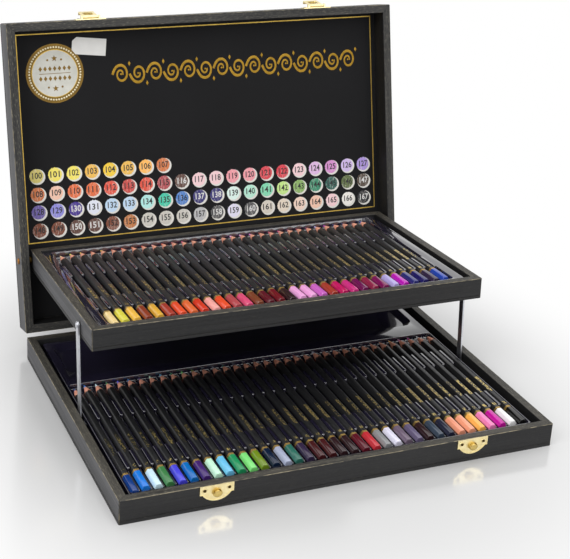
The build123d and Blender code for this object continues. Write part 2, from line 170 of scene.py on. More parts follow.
def copyOf(item, location=(0, 0, 0)):
    twin = item.copy()
    twin.data = item.data.copy()
    twin.location = location
    scene.collection.objects.link(twin)
    return twin


def joined(items):
    only(*items)
    bpy.ops.object.join()
    return bpy.context.object


def smooth(item, degrees=35):
    only(item)
    bpy.ops.object.shade_smooth_by_angle(angle=math.radians(degrees))


def settle(item, name, body, materials=(), replaced=(), place=None):
    # names a finished piece, puts it in place and lets it ride on its body
    applyPlace(item, place)
    item.name = name
    item.data.name = name
    if materials:
        item.data.materials.clear()
        for material in materials:
            item.data.materials.append(material)
    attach(item, body)
    if replaced:
        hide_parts(*replaced)
    return item


def ontoCard(item, name, materials=(), place=Matrix.Identity(4)):
    return settle(item, name, "lid", materials, (), cardPlace @ place)


# places: the lid's lining card (x, up the card, out of it) and the raised tray (x, back, up)

lidTurn = math.radians(joints["lid_hinge"]["range_deg"][1])
hingeAxis = Vector(joints["lid_hinge"]["pos_m"])
trayAxis = Vector(joints["tray_hinge"]["pos_m"])
layout = {
    "trayTilt": math.radians(3.6), "trayShift": -0.0022, "cardFace": 0.0204, "hingeGap": 0.00225,
    "halfWidth": 0.195, "halfDepth": 0.144, "trayHalves": (0.1831, 0.102), "trayMiddle": -0.0986,
}
intoLid = Matrix.Translation(hingeAxis) @ Matrix.Rotation(-lidTurn, 4, "X")
# up the card is towards the front of the shut lid, and out of it is down into the box
cardPlace = intoLid @ Matrix.Translation((0, -layout["hingeGap"], layout["cardFace"]))
cardPlace = cardPlace @ Matrix.Rotation(math.pi, 4, "X")
trayPlace = Matrix.Translation((0, trayAxis.y, trayAxis.z)) @ Matrix.Rotation(-layout["trayTilt"], 4, "X")

# the tray's row and liner sit a little left of its middle
trayAside = trayPlace @ Matrix.Translation((layout["trayShift"], 0, 0))


# stained wood

# The side rails take a much paler copy of the stain: painted light, for the key lamp on the left side. inner is painted
# shade for the walls inside the box.
stain = {
    "across": ("19191A", "252526"), "back": ("333335", "58585B"),
    "rim": ("1B1A18", "43403A"), "lidRim": ("1A1A1A", "393836"),
    "inner": "131314", "fleck": "7A7568", "worn": "9C9278",
    "streak": (0.09, 0.0016), "board": (0.16, 0.012), "pore": (0.0048, 0.00042),  # length and width of each figure
    "arris": 0.0009, "arrisFade": 0.0006, "seam": 0.0003,
}


def stainedWood(name, place, outer, along, tones, rimTones, rimNormal):
    # open-pored hardwood boards, stained black and oiled: smooth charcoal, browner and flecked where the rim is sanded
    material, tree, shader, here = startMaterial(name, Specular_IOR_Level=0.3)
    turn = tuple(place.to_euler())
    local = addNode(tree, "Mapping", {"Vector": here, "Location": place.to_translation(), "Rotation": turn},
                    vector_type="TEXTURE")
    grains = []
    for length, width in (stain["streak"], stain["board"], stain["pore"]):
        scale = (1 / length, 1 / width, 1 / width) if along == "X" else (1 / width, 1 / length, 1 / width)
        stretched = addNode(tree, "Mapping", {"Vector": local, "Scale": scale})
        grains.append(addNode(tree, "TexNoise", {"Vector": stretched, "Scale": 1.0, "Detail": 3.0, "Distortion": 0.15}))
    streaks, broad, poreNoise = grains
    pores = addNode(tree, "MapRange", {0: poreNoise, 1: 0.6, 2: 0.72})
    flecks = addNode(tree, "MapRange", {0: poreNoise, 1: 0.44, 2: 0.32})
    both = addNode(tree, "Mix", {0: 0.35, 2: streaks, 3: broad})
    tone = addNode(tree, "MapRange", {0: both, 1: 0.36, 2: 0.66}, interpolation_type="SMOOTHSTEP")
    face = addNode(tree, "Mix", {0: tone, 6: tones[0], 7: tones[1]}, 2, data_type="RGBA")
    rim = addNode(tree, "Mix", {0: tone, 6: rimTones[0], 7: rimTones[1]}, 2, data_type="RGBA")
    normal = addNode(tree, "TexCoord", output="Normal")
    facing = addNode(tree, "VectorMath", {0: normal, 1: tuple(rimNormal)}, "Value", operation="DOT_PRODUCT")
    onRim = addNode(tree, "MapRange", {0: facing, 1: 0.75, 2: 0.95})
    # inner walls, whose faces turn to the middle, take the darkest tone: painted shade inside the box
    frameNormal = addNode(tree, "Mapping", {"Vector": normal, "Rotation": turn}, vector_type="TEXTURE")
    outward = addNode(tree, "VectorMath", {0: frameNormal, 1: local}, "Value", operation="DOT_PRODUCT")
    inside = addNode(tree, "MapRange", {0: outward, 1: -0.04, 2: -0.08})
    face = addNode(tree, "Mix", {0: inside, 6: face, 7: stain["inner"]}, 2, data_type="RGBA")
    colour = addNode(tree, "Mix", {0: onRim, 6: face, 7: rim}, 2, data_type="RGBA")
    fleckShare = addNode(tree, "MapRange", {0: onRim, 3: 0.08, 4: 0.6})
    fleckOn = addNode(tree, "Math", {0: flecks, 1: fleckShare}, operation="MULTIPLY")
    colour = addNode(tree, "Mix", {0: fleckOn, 6: colour, 7: stain["fleck"]}, 2, data_type="RGBA")
    poreOn = addNode(tree, "Math", {0: pores, 1: 0.6}, operation="MULTIPLY")
    colour = addNode(tree, "Mix", {0: poreOn, 6: colour, 7: "0B0B0B"}, 2, data_type="RGBA")
    # worn outer arrises: the rounded edge under the rim, and the upright corners
    apart = addNode(tree, "VectorMath", {0: local}, operation="ABSOLUTE")
    over = addNode(tree, "VectorMath", {0: apart, 1: (outer[0], outer[1], 0)}, operation="SUBTRACT")
    overX, overY = [addNode(tree, "SeparateXYZ", {0: over}, axis) for axis in "XY"]
    farthest = addNode(tree, "Math", {0: overX, 1: overY}, operation="MAXIMUM")
    nearest = addNode(tree, "Math", {0: overX, 1: overY}, operation="MINIMUM")
    atEdge = addNode(tree, "MapRange", {0: farthest, 1: -stain["arris"], 2: -0.6 * stain["arris"]})
    turnedOut = addNode(tree, "MapRange", {0: facing, 1: 0.4, 2: 0.55})
    turnedIn = addNode(tree, "MapRange", {0: facing, 1: 0.97, 2: 0.88})
    roundedEdge = addNode(tree, "Math", {0: turnedOut, 1: turnedIn}, operation="MULTIPLY")
    roundedEdge = addNode(tree, "Math", {0: roundedEdge, 1: atEdge}, operation="MULTIPLY")
    corner = addNode(tree, "MapRange", {0: nearest, 1: -stain["arris"], 2: -stain["arrisFade"]})
    edges = addNode(tree, "Math", {0: roundedEdge, 1: corner}, operation="MAXIMUM")
    patchy = addNode(tree, "TexNoise", {"Vector": local, "Scale": 150.0, "Detail": 3.0})
    patches = addNode(tree, "MapRange", {0: patchy, 1: 0.36, 2: 0.64, 3: 0.0, 4: 0.9})
    wear = addNode(tree, "Math", {0: edges, 1: patches}, operation="MULTIPLY")
    colour = addNode(tree, "Mix", {0: wear, 6: colour, 7: stain["worn"]}, 2, data_type="RGBA")
    # each mitre shows as a fine dark line
    acrossX, backY = [addNode(tree, "SeparateXYZ", {0: apart}, axis) for axis in "XY"]
    lead = addNode(tree, "Math", {0: acrossX, 1: backY}, operation="SUBTRACT")
    off = addNode(tree, "Math", {0: lead, 1: outer[0] - outer[1], 2: stain["seam"]}, operation="COMPARE")
    seam = addNode(tree, "Math", {0: off, 1: 0.75}, operation="MULTIPLY")
    colour = addNode(tree, "Mix", {0: seam, 6: colour, 7: "080808"}, 2, data_type="RGBA")
    roughness = addNode(tree, "MapRange", {0: streaks, 3: 0.4, 4: 0.66})
    relief = addNode(tree, "Math", {0: streaks, 1: pores}, operation="SUBTRACT")
    bump = addNode(tree, "Bump", {"Height": relief, "Distance": 0.00008, "Strength": 0.6})
    feed(tree, shader, Base_Color=colour, Roughness=roughness, Normal=bump)
    return material


lidUp = (0, -math.sin(lidTurn), -math.cos(lidTurn))
trayUp = (0, math.sin(layout["trayTilt"]), math.cos(layout["trayTilt"]))
caseOuter = (layout["halfWidth"], layout["halfDepth"])
woodPlaces = {
    "base": (Matrix.Identity(4), caseOuter, (0, 0, 1)),
    "lid": (intoLid @ Matrix.Translation((0, -layout["hingeGap"] - layout["halfDepth"], 0)), caseOuter, lidUp),
    "tray": (trayPlace @ Matrix.Translation((0, layout["trayMiddle"], 0)), layout["trayHalves"], trayUp),
}
for part, (place, outer, rimNormal) in woodPlaces.items():
    rimTones = stain["lidRim"] if part == "lid" else stain["rim"]
    lengthwise = stainedWood(part + "WoodAcross", place, outer, "X", stain["across"], rimTones, rimNormal)
    # the left and right rails get the paler side tones: painted light, as if the key lamp lit them
    litSideWood = stainedWood(part + "WoodSidesLit", place, outer, "Y", stain["back"], rimTones, rimNormal)
    for rail, wood in (("front", lengthwise), ("rear", lengthwise), ("left", litSideWood), ("right", litSideWood)):
        nodes[f"{part}_{rail}_rail"].material_slots[0].material = wood
    panel = "lid_panel" if part == "lid" else part + "_bottom_panel"
    nodes[panel].material_slots[0].material = lengthwise
print("wood done")


# card, plastic and metal

def makeCard():
    # uncoated black paper board: deep matt black with a faint fibre tooth
    material, tree, shader, here = startMaterial("blackPaperBoard", Roughness=0.8, Specular_IOR_Level=0.2)
    cloud = addNode(tree, "TexNoise", {"Vector": here, "Scale": 14.0, "Detail": 3.0})
    fibre = addNode(tree, "TexNoise", {"Vector": here, "Scale": 1400.0, "Detail": 2.0})  # 0.7 mm fibres
    colour = addNode(tree, "Mix", {0: cloud, 6: "0F0F10", 7: "171719"}, 2, data_type="RGBA")
    bump = addNode(tree, "Bump", {"Height": fibre, "Distance": 0.00004, "Strength": 0.5})
    feed(tree, shader, Base_Color=colour, Normal=bump)
    return material


def makeFormedPlastic():
    # vacuum-formed polystyrene sheet: glossy near-black with the slow waves of a formed skin
    material, tree, shader, here = startMaterial("formedPolystyrene", IOR=1.7, Coat_Weight=1.0, Coat_IOR=1.6,
                                                 Coat_Roughness=0.06)
    cloud = addNode(tree, "TexNoise", {"Vector": here, "Scale": 30.0, "Detail": 2.0})
    waves = addNode(tree, "TexNoise", {"Vector": here, "Scale": 60.0, "Detail": 3.0, "Distortion": 0.4})
    grain = addNode(tree, "TexNoise", {"Vector": here, "Scale": 900.0, "Detail": 2.0})
    colour = addNode(tree, "Mix", {0: cloud, 6: "15131F", 7: "221F30"}, 2, data_type="RGBA")
    roughness = addNode(tree, "MapRange", {0: cloud, 3: 0.07, 4: 0.17})
    skin = addNode(tree, "Mix", {0: 0.06, 2: waves, 3: grain})
    bump = addNode(tree, "Bump", {"Height": skin, "Distance": 0.0006, "Strength": 0.35})
    feed(tree, shader, Base_Color=colour, Roughness=roughness, Normal=bump)
    return material


def makeMetal(name, pale, dark, roughness, grain, fine=(1600, 1600, 1600)):
    material, tree, shader, here = startMaterial(name, Metallic=1.0)
    drawn = addNode(tree, "Mapping", {"Vector": here, "Scale": fine})
    lines = addNode(tree, "TexNoise", {"Vector": drawn, "Scale": 1.0, "Detail": 2.0})
    cloud = addNode(tree, "TexNoise", {"Vector": here, "Scale": 260.0, "Detail": 3.0})
    colour = addNode(tree, "Mix", {0: cloud, 6: dark, 7: pale}, 2, data_type="RGBA")
    rough = addNode(tree, "MapRange", {0: lines, 3: roughness, 4: roughness + grain})
    bump = addNode(tree, "Bump", {"Height": lines, "Distance": 0.00003, "Strength": 0.4})
    feed(tree, shader, Base_Color=colour, Roughness=rough, Normal=bump)
    return material


lining = makeCard()
plastic = makeFormedPlastic()
brass = makeMetal("polishedBrassPlate", "F5E9BC", "DCC88C", 0.3, 0.15)  # thin stamped brass, pale under lacquer
shadedBrass = makeMetal("brassButtonPaintedShade", "DDC780", "B0934E", 0.3, 0.15)  # darker brass for the button: painted shade, to give it contrast on the pale plate
nailBrass = makeMetal("agedBrassNail", "5E4A26", "32270F", 0.4, 0.2)  # nail heads, dark with old lacquer
pivotBrass = makeMetal("bronzedRivetHead", "A8743A", "6E4A20", 0.42, 0.2)  # tray pivot heads
hingeBrass = makeMetal("platedSteelHinge", "D9C078", "A98C4C", 0.3, 0.15)  # brass-plated, a little duller
steel = makeMetal("brightZincPlatedSteel", "D6D7DB", "B4B6BC", 0.24, 0.2, (900, 900, 40))  # drawn strip
scrollFoil = makeMetal("raisedGoldFoil", "AA8634", "6E5418", 0.4, 0.2)  # thicker foil, blocked deep, so darker
goldFoil = makeMetal("hotStampedGoldFoil", "CDB05C", "9E8138", 0.42, 0.2)  # foil pressed into board, slightly broken

# the tray's spacers take the dark nail metal too, so that they hardly show
for test, metal in (("keeper", brass), ("hasp", brass), ("nails", nailBrass), ("hinge", hingeBrass),
                    ("link", steel), ("pivot", pivotBrass), ("tray_spacers", nailBrass)):
    for name in nodes:
        if test in name:
            nodes[name].material_slots[0].material = metal
nodes["lid_card"].material_slots[0].material = lining
print("metals done")


# colours of the pencils, by name

colours = {
    "cream": "EACF8E", "lemon": "F0E060", "yellow": "F0C92E", "amber": "FBB95A", "red": "C0303A", "brick": "A33A2C",
    "caramel": "C07840", "umber": "2F1C1F", "maroon": "451A1C", "wine": "5E1624", "rose": "DB4F79",
    "pink": "EF85BE", "salmon": "F09C7C", "coral": "F5A582", "magenta": "C8149F", "fuchsia": "C8307F",
    "plum": "6B1050", "orchid": "C864C0", "lavender": "B0A4DC", "violet": "4A48D8", "purple": "43246E",
    "grape": "332643", "indigo": "2A2C72", "navy": "10203A", "ultramarine": "123A80", "royal": "2645A8",
    "blue": "0F6BB8", "azure": "1E78D8", "sky": "6CC0E8", "ice": "CDEAF5", "spruce": "2C6A5C", "mint": "C8F5D8",
    "green": "23905A", "leaf": "7FE07A", "sage": "3F7D48", "olive": "6F8A20", "slate": "3A4656",
    "midnight": "25273A", "grey": "8B8C8E", "silverGrey": "B4B5B8", "fog": "E2DFF2", "pewter": "A4ACC4",
    "mauve": "6F5F72", "heather": "645A78", "white": "F2F2F2", "ink": "17191F", "black": "121212",
    "stone": "C9C6BE", "claret": "8A2045", "mulberry": "7A1055", "clover": "B818B0", "deepBlue": "1F1A60",
    "saffron": "DEAA3C", "russet": "8A3A22", "flame": "E2502C", "poppy": "D03A22", "blush": "F2A8A0",
    "acid": "D9D24A", "umberRed": "6E1420", "orchidPink": "EDA6DC", "dahlia": "C0185F", "khaki": "D6C76A",
    "marigold": "EBB84A", "clay": "D0743C", "paprika": "DE6A38", "chili": "E0503A", "brickRed": "C8443E",
    "roseBrown": "B04A50", "mink": "5A3A30", "petal": "F3CDD2", "flush": "EE9AA4", "cherry": "D83848",
    "thistle": "DDB4E0", "mallow": "D48CCB", "wisteria": "CDB6E6", "iris": "A98FD8", "dusk": "6A5AA8",
    "periwinkle": "8A88D8", "eveningBlue": "3A2088", "frost": "DFE3F0", "paleSky": "BFD8F0", "paleAqua": "B0E8E4",
    "jade": "38C8A8", "denim": "4A80C8", "night": "2C2870", "paleMint": "DDF3EC", "seafoam": "B4E6D2",
    "spearmint": "7CD8B0", "lime": "C4E68A", "grass": "88B060", "bottle": "2F8A68", "deepTeal": "1C5A50",
    "mossGreen": "5A6A3A", "bark": "4A3A2C", "chestnut": "7A4028", "charcoal": "4A4A4C", "putty": "D6CFC2",
    "almond": "E4D6C4", "bisque": "F0D4C4", "apricot": "F2C4AC", "rice": "EEEAE4",
}

trayColours = """
    cream acid marigold russet saffron brick flame paprika poppy blush flame roseBrown rose chestnut wine
    umberRed umber orchidPink orchidPink orchid brick dahlia fuchsia plum claret mulberry lavender clover
    indigo deepBlue grape royal
""".split()
baseColours = """
    ultramarine azure ice sage violet blue purple mint sky green leaf olive navy pewter spruce grape maroon
    maroon umber umber wine red grey fog mauve heather umber slate midnight salmon coral amber pink magenta
    white black
""".split()
chartColours = [row.split() for row in (
    """khaki lemon lemon marigold yellow marigold amber clay""",
    """clay apricot paprika paprika chili brickRed chili roseBrown mink petal petal flush flush cherry cherry
    petal thistle mallow wisteria iris""",
    """dusk periwinkle eveningBlue frost paleSky paleSky paleAqua jade denim night night paleMint seafoam
    spearmint lime grass bottle deepTeal mossGreen bark""",
    """chestnut chestnut mink mink chestnut caramel stone stone stone silverGrey charcoal fog charcoal putty
    almond bisque apricot petal rice ink""",
)]


# pencils

pencilForm = {
    "length": 0.175, "flats": 0.0068, "edgeRound": 0.0004, "dip": 0.0232, "band": 0.0026, "domeRound": 0.0007,
    "cone": 0.017, "lead": 0.0052, "tipRadius": 0.00035, "pitch": 0.0101,
    "foil": (0.0535, 0.0805), "foilWidth": 0.0027, "mark": (0.0295, 0.0333), "markWidth": 0.0029,
}


def makePencilMaterials():
    finishes = []
    # black alkyd lacquer over cedar: satin, faintly orange-peeled
    material, tree, shader, here = startMaterial("blackBarrelLacquer")
    peel = addNode(tree, "TexNoise", {"Vector": here, "Scale": 420.0, "Detail": 2.0})
    colour = addNode(tree, "Mix", {0: peel, 6: "0F0F10", 7: "1A1A1C"}, 2, data_type="RGBA")
    roughness = addNode(tree, "MapRange", {0: peel, 3: 0.3, 4: 0.5})
    bump = addNode(tree, "Bump", {"Height": peel, "Distance": 0.00005, "Strength": 0.3})
    feed(tree, shader, Base_Color=colour, Roughness=roughness, Normal=bump)
    finishes.append(material)
    # dipped nitrocellulose lacquer: full gloss in the pencil's own colour
    material, tree, shader, here = startMaterial("dippedEndLacquer", Roughness=0.14, Coat_Weight=0.4,
                                                 Coat_Roughness=0.05)
    own = addNode(tree, "Attribute", output="Color", attribute_name="pencilColour")
    flow = addNode(tree, "TexNoise", {"Vector": here, "Scale": 240.0, "Detail": 2.0})
    deeper = addNode(tree, "HueSaturation", {"Value": 0.86, "Color": own})
    colour = addNode(tree, "Mix", {0: flow, 6: own, 7: deeper}, 2, data_type="RGBA")
    bump = addNode(tree, "Bump", {"Height": flow, "Distance": 0.00006, "Strength": 0.3})
    feed(tree, shader, Base_Color=colour, Normal=bump)
    finishes.append(material)
    finishes.append(makeMetal("pressedGoldBand", "C9AC6A", "96773C", 0.4, 0.15))  # foil band rolled on over lacquer
    # foil stamping worn into short bars: gold where it holds, lacquer where it's gone
    material, tree, shader, here = startMaterial("wornFoilStamp")
    held = addNode(tree, "Attribute", output="Fac", attribute_name="foilHold")
    split = addNode(tree, "Mapping", {"Vector": here, "Scale": (1100, 620, 1100)})
    noise = addNode(tree, "TexNoise", {"Vector": split, "Scale": 1.0, "Detail": 1.0})
    patches = addNode(tree, "Math", {0: noise, 1: held}, operation="ADD")
    gold = addNode(tree, "MapRange", {0: patches, 1: 0.98, 2: 1.06})
    colour = addNode(tree, "Mix", {0: gold, 6: "141413", 7: "D9C27A"}, 2, data_type="RGBA")
    roughness = addNode(tree, "MapRange", {0: noise, 3: 0.3, 4: 0.5})
    feed(tree, shader, Base_Color=colour, Metallic=gold, Roughness=roughness)
    finishes.append(material)
    # knife-cut cedar: pink-brown, fine rings along the cut
    material, tree, shader, here = startMaterial("sharpenedCedar", Roughness=0.62)
    fibre = addNode(tree, "Mapping", {"Vector": here, "Scale": (1800, 160, 1800)})
    rings = addNode(tree, "TexNoise", {"Vector": fibre, "Scale": 1.0, "Detail": 3.0})
    colour = addNode(tree, "Mix", {0: rings, 6: "CB7F62", 7: "EDB199"}, 2, data_type="RGBA")
    bump = addNode(tree, "Bump", {"Height": rings, "Distance": 0.00004, "Strength": 0.4})
    feed(tree, shader, Base_Color=colour, Normal=bump)
    finishes.append(material)
    # waxy pigment core
    material, tree, shader, here = startMaterial("waxPigmentCore", Roughness=0.45)
    own = addNode(tree, "Attribute", output="Color", attribute_name="pencilColour")
    crumbs = addNode(tree, "TexNoise", {"Vector": here, "Scale": 1500.0, "Detail": 2.0})
    paler = addNode(tree, "HueSaturation", {"Value": 1.15, "Saturation": 0.9, "Color": own})
    colour = addNode(tree, "Mix", {0: crumbs, 6: own, 7: paler}, 2, data_type="RGBA")
    bump = addNode(tree, "Bump", {"Height": crumbs, "Distance": 0.00005, "Strength": 0.5})
    feed(tree, shader, Base_Color=colour, Normal=bump)
    finishes.append(material)
    return finishes


def modelPencil(finishes):
    size = pencilForm
    length, corner = size["length"], size["flats"] / 3 ** 0.5
    bpy.ops.mesh.primitive_cylinder_add(vertices=6, radius=corner, depth=length, location=(0, length / 2, 0),
                                        rotation=(-math.pi / 2, math.pi / 6, 0))
    pencil = bpy.context.object
    applyPlace(pencil)
    roundEdges(lambda edge: abs(edge.verts[0].co.y - edge.verts[1].co.y) > 0.1, size["edgeRound"], 2)
    roundRim(lambda face: face.normal.y < -0.9, size["domeRound"], 3)
    for zone in (size["dip"], size["dip"] + size["band"]):
        editing(lambda face: True)
        bpy.ops.mesh.bisect(plane_co=(0, zone, 0), plane_no=(0, 1, 0))
    doneEditing()
    # the sharpener's cone, long enough to hold the whole barrel
    slope = (corner - size["tipRadius"]) / size["cone"]
    reach = length + 0.01
    bpy.ops.mesh.primitive_cone_add(vertices=24, radius1=size["tipRadius"] + slope * reach, radius2=size["tipRadius"],
                                    depth=reach, location=(0, length - reach / 2, 0), rotation=(-math.pi / 2, 0, 0))
    carve(pencil, bpy.context.object, "INTERSECT")
    editing(lambda face: face.calc_center_median().y > length - size["cone"] * 1.6)
    bpy.ops.mesh.bisect(plane_co=(0, length - size["lead"], 0), plane_no=(0, 1, 0))
    doneEditing()
    # zones: barrel, dipped end, band, foil, cedar, core
    for finish in finishes:
        pencil.data.materials.append(finish)
    ends = (size["dip"], size["dip"] + size["band"])
    for face in pencil.data.polygons:
        y = face.center.y
        if face.normal.y > 0.1:
            face.material_index = 5 if y > length - size["lead"] else 4
        else:
            face.material_index = 1 if y < ends[0] else 2 if y < ends[1] else 0
    # foil block and a short mark beside the band, a hair above the top flat
    top = size["flats"] / 2
    plates = []
    for (start, end), width in ((size["foil"], size["foilWidth"]), (size["mark"], size["markWidth"])):
        plate = addCube((-width / 2, start, top - 0.0002), (width / 2, end, top + 0.00004))
        for finish in finishes:
            plate.data.materials.append(finish)
        for face in plate.data.polygons:
            face.material_index = 3
        plates.append(plate)
    pencil = joined([pencil, *plates])
    smooth(pencil, 28)
    return pencil


def layPencils(name, names, blunt, axisHeight, firstForward, body, replaced, place, seed):
    chance = random.Random(seed)
    copies = []
    for i, colourName in enumerate(names):
        x = (i - (len(names) - 1) / 2) * pencilForm["pitch"]
        forward = firstForward if i == 0 else chance.uniform(-0.0006, 0.0006)
        copy = copyOf(pencil, (x + chance.uniform(-0.0001, 0.0001), blunt - forward, axisHeight))
        colour = copy.data.color_attributes.new("pencilColour", "FLOAT_COLOR", "POINT")
        colour.data.foreach_set("color", hexToLinear(colours[colourName]) * len(copy.data.vertices))
        foil = copy.data.attributes.new("foilHold", "FLOAT", "POINT")
        held = 0.37 + 0.08 * chance.random() + 0.09 * i / len(names) + (0.06 if chance.random() < 0.2 else 0)
        foil.data.foreach_set("value", [held] * len(copy.data.vertices))
        copies.append(copy)
    return settle(joined(copies), name, body, (), replaced, place)


pencil = modelPencil(makePencilMaterials())
layPencils("basePencils", baseColours, -0.1255, 0.0152, 0.003, "base",
           ("base_pencil_casings", "base_pencil_leads"), Matrix.Identity(4), 4)
layPencils("trayPencils", trayColours, -0.1851, 0.0053, 0.003, "tray",
           ("tray_pencil_casings", "tray_pencil_leads"), trayAside, 9)
bpy.data.objects.remove(pencil)
print("pencils laid")


# formed liners

sheet = {
    "footRound": 0.0008, "sink": 0.0002, "ends": 0.46, "barCrown": 0.0010, "barFoot": 0.62,
    "ridgeWidth": 0.0017, "ridgeCrown": 0.0005, "blockEnds": 0.4, "blockCrown": 0.0007, "blockOff": 0.0042,
}


def modelPocket(low, high, corner, draft):
    # a tub-shaped cutter: narrower at the floor, round in its corners and along its foot
    cutter = addCube(low, high)
    editing(lambda face: face.normal.z < -0.9)
    width, depth = high[0] - low[0], high[1] - low[1]
    bpy.ops.transform.resize(value=(1 - 2 * draft / width, 1 - 2 * draft / depth, 1))
    roundEdges(isUpright, corner, 6)
    roundRim(lambda face: face.normal.z < -0.9, sheet["footRound"], 2)
    doneEditing()
    return cutter


def modelBar(width, length, low, high, ends, crown, foot=1.0):
    bar = addCube((-width / 2, 0, low), (width / 2, length, high))
    editing(lambda face: face.normal.z < -0.9)
    bpy.ops.transform.resize(value=(foot, 1, 1))
    roundEdges(lambda edge: isUpright(edge, 0.0005), width * ends, 4)
    roundRim(lambda face: face.normal.z > 0.9, crown, 3)
    doneEditing()
    return bar


def modelLiner(size):
    liner = addCube(size["low"], size["high"])
    roundEdges(isUpright, size["corner"], 6)
    doneEditing()
    for low, high, corner, draft in size["pockets"]:
        carve(liner, modelPocket(low, high, corner, draft))
    addModifier(liner, "BEVEL", width=size["lip"], segments=2, limit_method="ANGLE", angle_limit=math.radians(40))
    parts = [liner]
    count, pitch, floor = size["count"], pencilForm["pitch"], size["floor"] - sheet["sink"]
    ends, start, end = sheet["ends"], *size["ridge"]
    bar = modelBar(size["barWidth"], size["barLength"], floor, size["barTop"], ends, sheet["barCrown"],
                   sheet["barFoot"])
    ridge = modelBar(sheet["ridgeWidth"], end - start, floor, size["ridgeTop"], ends, sheet["ridgeCrown"])
    for i in range(count - 1):
        x = (i - (count - 2) / 2) * pitch
        for start in size["barStarts"]:
            parts.append(copyOf(bar, (x, size["blunt"] + start, 0)))
        parts.append(copyOf(ridge, (x, size["ridge"][0], 0)))
    if size["sideBlock"] > 0:
        out = (count - 1) * pitch / 2 + sheet["blockOff"] + size["sideBlock"] / 2
        for side in (-1, 1):
            for start in size["barStarts"]:
                block = modelBar(size["sideBlock"], size["barLength"], floor, size["barTop"], sheet["blockEnds"],
                                 sheet["blockCrown"])
                block.location = (side * out, size["blunt"] + start, 0)
                parts.append(block)
    bpy.data.objects.remove(bar)
    bpy.data.objects.remove(ridge)
    liner = joined(parts)
    smooth(liner, 40)
    return liner


baseLinerForm = {
    "low": (-0.1824, -0.1355, 0.0031), "high": (0.1824, 0.1355, 0.0173), "corner": 0.004, "lip": 0.0008,
    "pockets": [
        ((-0.18107, -0.1295, 0.0118), (0.18107, 0.0515, 0.03), 0.003, 0.0004),
        ((-0.176, 0.0715, 0.012), (0.176, 0.1305, 0.0174), 0.009, 0.0046),
    ],
    "count": 36, "floor": 0.0118, "blunt": -0.1255, "barStarts": (0.030, 0.112), "barLength": 0.027,
    "barWidth": 0.0034, "barTop": 0.0181, "ridge": (-0.124, 0.046), "ridgeTop": 0.0146, "sideBlock": 0,
}
trayLinerForm = {
    "low": (-0.1726, -0.1921, -0.0069), "high": (0.1726, -0.0051, 0.008), "corner": 0.004, "lip": 0.0005,
    "pockets": [((-0.1635, -0.1891, 0.0019), (0.1635, -0.0081, 0.03), 0.004, 0.0006)],
    "count": 32, "floor": 0.0019, "blunt": -0.1851, "barStarts": (0.030, 0.112), "barLength": 0.027,
    "barWidth": 0.0034, "barTop": 0.0082, "ridge": (-0.1836, -0.0136), "ridgeTop": 0.0047, "sideBlock": 0.0028,
}
settle(modelLiner(baseLinerForm), "baseLiner", "base", [plastic], ("base_insert",))
settle(modelLiner(trayLinerForm), "trayLiner", "tray", [plastic], ("tray_insert",), trayAside)
print("liners formed")


# keepers on the base's front: stamped plates with a raised rim, nail rings and a hooked button

keeper = {
    "across": 0.115, "face": -0.144, "top": 0.0213, "half": 0.0143, "side": 0.0077, "tall": 0.0141,
    "radius": 0.01502, "centre": 0.00092, "thick": 0.0008, "rim": 0.0011, "sunk": 0.00028,
    "nail": (0.0103, 0.0039), "ring": 0.0017, "ringWire": 0.0004, "button": 0.0040, "squat": 0.86,
    "buttonDrop": 0.0067, "buttonRise": 0.0026, "buttonRoot": 0.0004, "crown": 0.0011,
    "bite": 0.0029, "biteAt": (-0.0004, 0.0016), "hookAt": (-0.0002, 0.0001),
}


def addRound(vertices, radius, depth, location):
    # a short cylinder along Y
    bpy.ops.mesh.primitive_cylinder_add(vertices=vertices, radius=radius, depth=depth, location=location,
                                        rotation=(math.pi / 2, 0, 0))
    return bpy.context.object


def modelKeeper():
    size = keeper
    half, thick = size["half"], size["thick"]
    plate = addRound(96, size["radius"], thick, (0, -thick / 2, size["centre"]))
    applyPlace(plate)
    carve(plate, addCube((-half, -0.01, -0.03), (half, 0.01, -size["side"])), "INTERSECT")
    carve(plate, addCube((-half, -thick, -size["side"] - 0.0001), (half, 0, 0)), "UNION")
    # sink the field inside the rim with a smaller copy of the plate
    field = copyOf(plate, (0, size["sunk"] - thick, -size["rim"]))
    field.scale = (1 - size["rim"] / half, 1, 1 - 2 * size["rim"] / size["tall"])
    carve(plate, field)
    parts = [plate]
    nailX, nailDrop = size["nail"]
    for side in (-1, 1):
        bpy.ops.mesh.primitive_torus_add(major_radius=size["ring"], minor_radius=size["ringWire"], major_segments=32,
                                         minor_segments=8, rotation=(math.pi / 2, 0, 0),
                                         location=(side * nailX, size["sunk"] - thick, -nailDrop))
        parts.append(bpy.context.object)
    rise, root, drop = size["buttonRise"], size["buttonRoot"], size["buttonDrop"]
    button = addRound(40, size["button"], rise + root, (0, -thick - rise / 2 + root / 2, -drop))
    button.scale = (1, size["squat"], 1)  # low enough for the hasp's window
    applyPlace(button)
    roundRim(lambda face: face.normal.y < -0.9, size["crown"], 4)
    doneEditing()
    # the hook's undercut, a crescent bitten out of the button's crown
    notch, hook = [addRound(32, size["bite"], deep, (across, -thick - rise, up - drop))
                   for deep, (across, up) in ((0.004, size["biteAt"]), (0.006, size["hookAt"]))]
    carve(notch, hook)
    carve(button, notch)
    parts.append(button)
    # the button gets the darker brass: painted shade
    for part in parts:
        part.data.materials.append(brass)
        part.data.materials.append(shadedBrass)
        for face in part.data.polygons:
            face.material_index = 1 if part is button else 0
    model = joined(parts)
    smooth(model, 30)
    return model


keeperForm = modelKeeper()
for side, sign in (("left", -1), ("right", 1)):
    plate = copyOf(keeperForm, (sign * keeper["across"], keeper["face"], keeper["top"]))
    settle(plate, side + "KeeperPlate", "base", (), (side + "_keeper",))
bpy.data.objects.remove(keeperForm)
print("keepers stamped")


# chart printed on the lid's card

